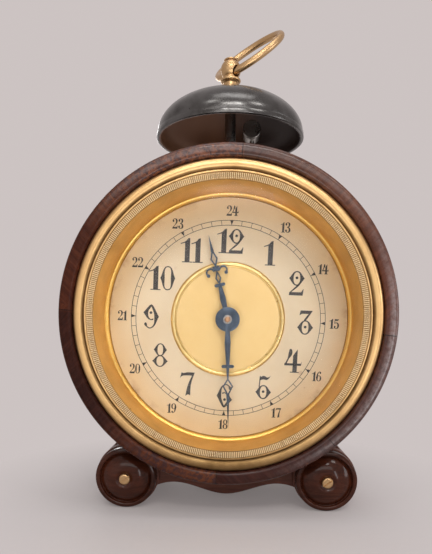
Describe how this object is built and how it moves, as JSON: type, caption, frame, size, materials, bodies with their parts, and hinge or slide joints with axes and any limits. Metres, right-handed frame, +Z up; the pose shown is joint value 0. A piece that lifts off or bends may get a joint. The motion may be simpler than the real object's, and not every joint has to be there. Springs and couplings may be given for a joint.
{
  "type": "wooden alarm clock",
  "caption": "Round wooden alarm clock with a bell on top, a ring handle, ornate hands, a geared movement with alarm hammer, and winding keys and levers at the back.",
  "frame": {"origin": "bottom centre of the bounding box, on the surface the feet stand on", "axes": "+Z up through the bell, the dial faces -Y, +X to the right seen from the front"},
  "size_m": [0.1342, 0.088, 0.2157],
  "materials": {
    "polished_wood": "dark red-brown, french polished",
    "case_wood": "dark red-brown, satin",
    "brass": "polished, lightly worn",
    "plate_brass": "brushed",
    "gilt": "gilt, satin",
    "glass": "clear, convex",
    "dial_paint": "cream, matt",
    "blued_steel": "blued, polished",
    "bell_steel": "dark, polished, worn",
    "steel": "bright drawn",
    "spring_steel": "tempered"
  },
  "bodies": {
    "case": {"alarm_spring": "spring_steel", "back_board": "case_wood", "back_plate": "plate_brass", "back_screws": "steel", "base_cradle": "case_wood", "bell": "bell_steel", "bell_post": "steel", "bezel": "brass", "case_drum": "case_wood", "dial": "dial_paint", "dial_bead": "gilt", "dial_centre": "gilt", "dial_feet": "brass", "dial_ledge": "case_wood", "finial": "brass", "foot_rosette_left": "polished_wood", "foot_rosette_right": "polished_wood", "foot_screws": "brass", "front_plate": "plate_brass", "front_ring": "polished_wood", "glass": "glass", "hairspring": "blued_steel", "movement_screws": "steel", "pillar_screws": "steel", "pillars": "brass", "post_nut": "steel", "sight_ring": "gilt"},
    "hands": {"centre_arbor": "steel", "cannon_pinion": "steel", "minute_hand": "blued_steel", "set_knob": "brass"},
    "minute_wheel": {"minute_wheel": "brass"},
    "hours": {"hour_wheel": "brass", "hour_hand": "blued_steel"},
    "alarm_wheel": {"alarm_wheel": "brass"},
    "fourth": {"fourth_wheel": "brass"},
    "third": {"third_wheel": "brass"},
    "centre": {"centre_wheel": "brass"},
    "time_barrel": {"time_barrel": "brass", "time_mainspring": "spring_steel"},
    "escape": {"escape_wheel": "brass"},
    "pallet": {"pallet_lever": "steel"},
    "balance": {"balance_wheel": "brass"},
    "regulator": {"regulator_lever": "steel"},
    "time_winder": {"time_winding_arbor": "steel", "time_key": "brass"},
    "alarm_winder": {"alarm_winding_arbor": "steel", "alarm_key": "brass"},
    "alarm_escape": {"alarm_escape_wheel": "brass"},
    "alarm_barrel": {"alarm_barrel": "brass", "alarm_mainspring": "spring_steel"},
    "hammer": {"hammer": "steel", "hammer_head": "steel"},
    "alarm_setter": {"alarm_arbor": "steel", "alarm_knob": "brass"},
    "stop": {"stop_lever": "steel"},
    "time_click": {"time_click": "steel"},
    "alarm_click": {"alarm_click": "steel"},
    "ring": {"ring_handle": "brass"}
  },
  "joints": [
    {"name": "hands_turn", "type": "hinge", "parent": "case", "child": "hands", "pos_m": [0, -0.012, 0.082], "axis": [0, 1, 0], "continuous": true},
    {"name": "minute_wheel_turn", "type": "hinge", "parent": "case", "child": "minute_wheel", "pos_m": [-0.00964, -0.012, 0.07051], "axis": [0, 1, 0], "continuous": true},
    {"name": "hour_turn", "type": "hinge", "parent": "case", "child": "hours", "pos_m": [0, -0.012, 0.082], "axis": [0, 1, 0], "continuous": true},
    {"name": "alarm_wheel_turn", "type": "hinge", "parent": "case", "child": "alarm_wheel", "pos_m": [0, -0.012, 0.106], "axis": [0, 1, 0], "continuous": true},
    {"name": "fourth_turn", "type": "hinge", "parent": "case", "child": "fourth", "pos_m": [0, -0.012, 0.05607], "axis": [0, 1, 0], "continuous": true},
    {"name": "third_turn", "type": "hinge", "parent": "case", "child": "third", "pos_m": [0, -0.012, 0.068], "axis": [0, 1, 0], "continuous": true},
    {"name": "centre_wheel_turn", "type": "hinge", "parent": "case", "child": "centre", "pos_m": [0, -0.012, 0.082], "axis": [0, 1, 0], "continuous": true},
    {"name": "time_barrel_turn", "type": "hinge", "parent": "case", "child": "time_barrel", "pos_m": [-0.02068, -0.012, 0.07835], "axis": [0, 1, 0], "continuous": true},
    {"name": "escape_turn", "type": "hinge", "parent": "case", "child": "escape", "pos_m": [-0.00858, -0.012, 0.04888], "axis": [0, 1, 0], "continuous": true},
    {"name": "pallet_rock", "type": "hinge", "parent": "case", "child": "pallet", "pos_m": [0.001, -0.012, 0.045], "axis": [0, 1, 0], "range_deg": [-4, 4]},
    {"name": "balance_swing", "type": "hinge", "parent": "case", "child": "balance", "pos_m": [0.0145, -0.012, 0.051], "axis": [0, 1, 0], "range_deg": [-200, 200], "stiffness_Nm_per_rad": 0.000025},
    {"name": "regulator_swing", "type": "hinge", "parent": "case", "child": "regulator", "pos_m": [0.0145, -0.012, 0.051], "axis": [0, 1, 0], "range_deg": [-15, 15]},
    {"name": "time_winding", "type": "hinge", "parent": "case", "child": "time_winder", "pos_m": [-0.02068, -0.012, 0.07835], "axis": [0, 1, 0], "continuous": true},
    {"name": "alarm_winding", "type": "hinge", "parent": "case", "child": "alarm_winder", "pos_m": [0.022, -0.012, 0.076], "axis": [0, 1, 0], "continuous": true},
    {"name": "alarm_escape_turn", "type": "hinge", "parent": "case", "child": "alarm_escape", "pos_m": [0.01625, -0.012, 0.09179], "axis": [0, 1, 0], "continuous": true},
    {"name": "alarm_barrel_turn", "type": "hinge", "parent": "case", "child": "alarm_barrel", "pos_m": [0.022, -0.012, 0.076], "axis": [0, 1, 0], "continuous": true},
    {"name": "hammer_swing", "type": "hinge", "parent": "case", "child": "hammer", "pos_m": [0.013, -0.012, 0.106], "axis": [0, 1, 0], "range_deg": [-3, 10]},
    {"name": "alarm_setting", "type": "hinge", "parent": "case", "child": "alarm_setter", "pos_m": [0, -0.012, 0.106], "axis": [0, 1, 0], "continuous": true},
    {"name": "stop_swing", "type": "hinge", "parent": "case", "child": "stop", "pos_m": [0.024, -0.012, 0.102], "axis": [0, 1, 0], "range_deg": [-10, 10]},
    {"name": "time_click_lift", "type": "hinge", "parent": "case", "child": "time_click", "pos_m": [-0.02593, -0.012, 0.08745], "axis": [0, 1, 0], "range_deg": [0, 12], "stiffness_Nm_per_rad": 0.0001, "springref_deg": -17.19},
    {"name": "alarm_click_lift", "type": "hinge", "parent": "case", "child": "alarm_click", "pos_m": [0.02725, -0.012, 0.06691], "axis": [0, 1, 0], "range_deg": [0, 12], "stiffness_Nm_per_rad": 0.0001, "springref_deg": -17.19},
    {"name": "ring_swing", "type": "hinge", "parent": "case", "child": "ring", "pos_m": [0, 0, 0.19153], "axis": [-0.6947, 0.7193, 0], "range_deg": [-164, 73]}
  ],
  "couplings": [
    {"joint": "minute_wheel_turn", "follows": "hands_turn", "ratio": -0.33333},
    {"joint": "hour_turn", "follows": "hands_turn", "ratio": 0.083333},
    {"joint": "alarm_wheel_turn", "follows": "hands_turn", "ratio": -0.083333},
    {"joint": "third_turn", "follows": "fourth_turn", "ratio": -0.17778},
    {"joint": "centre_wheel_turn", "follows": "fourth_turn", "ratio": 0.02963},
    {"joint": "time_barrel_turn", "follows": "fourth_turn", "ratio": -0.0049383},
    {"joint": "escape_turn", "follows": "fourth_turn", "ratio": -6},
    {"joint": "alarm_barrel_turn", "follows": "alarm_escape_turn", "ratio": -0.16667}
  ]
}
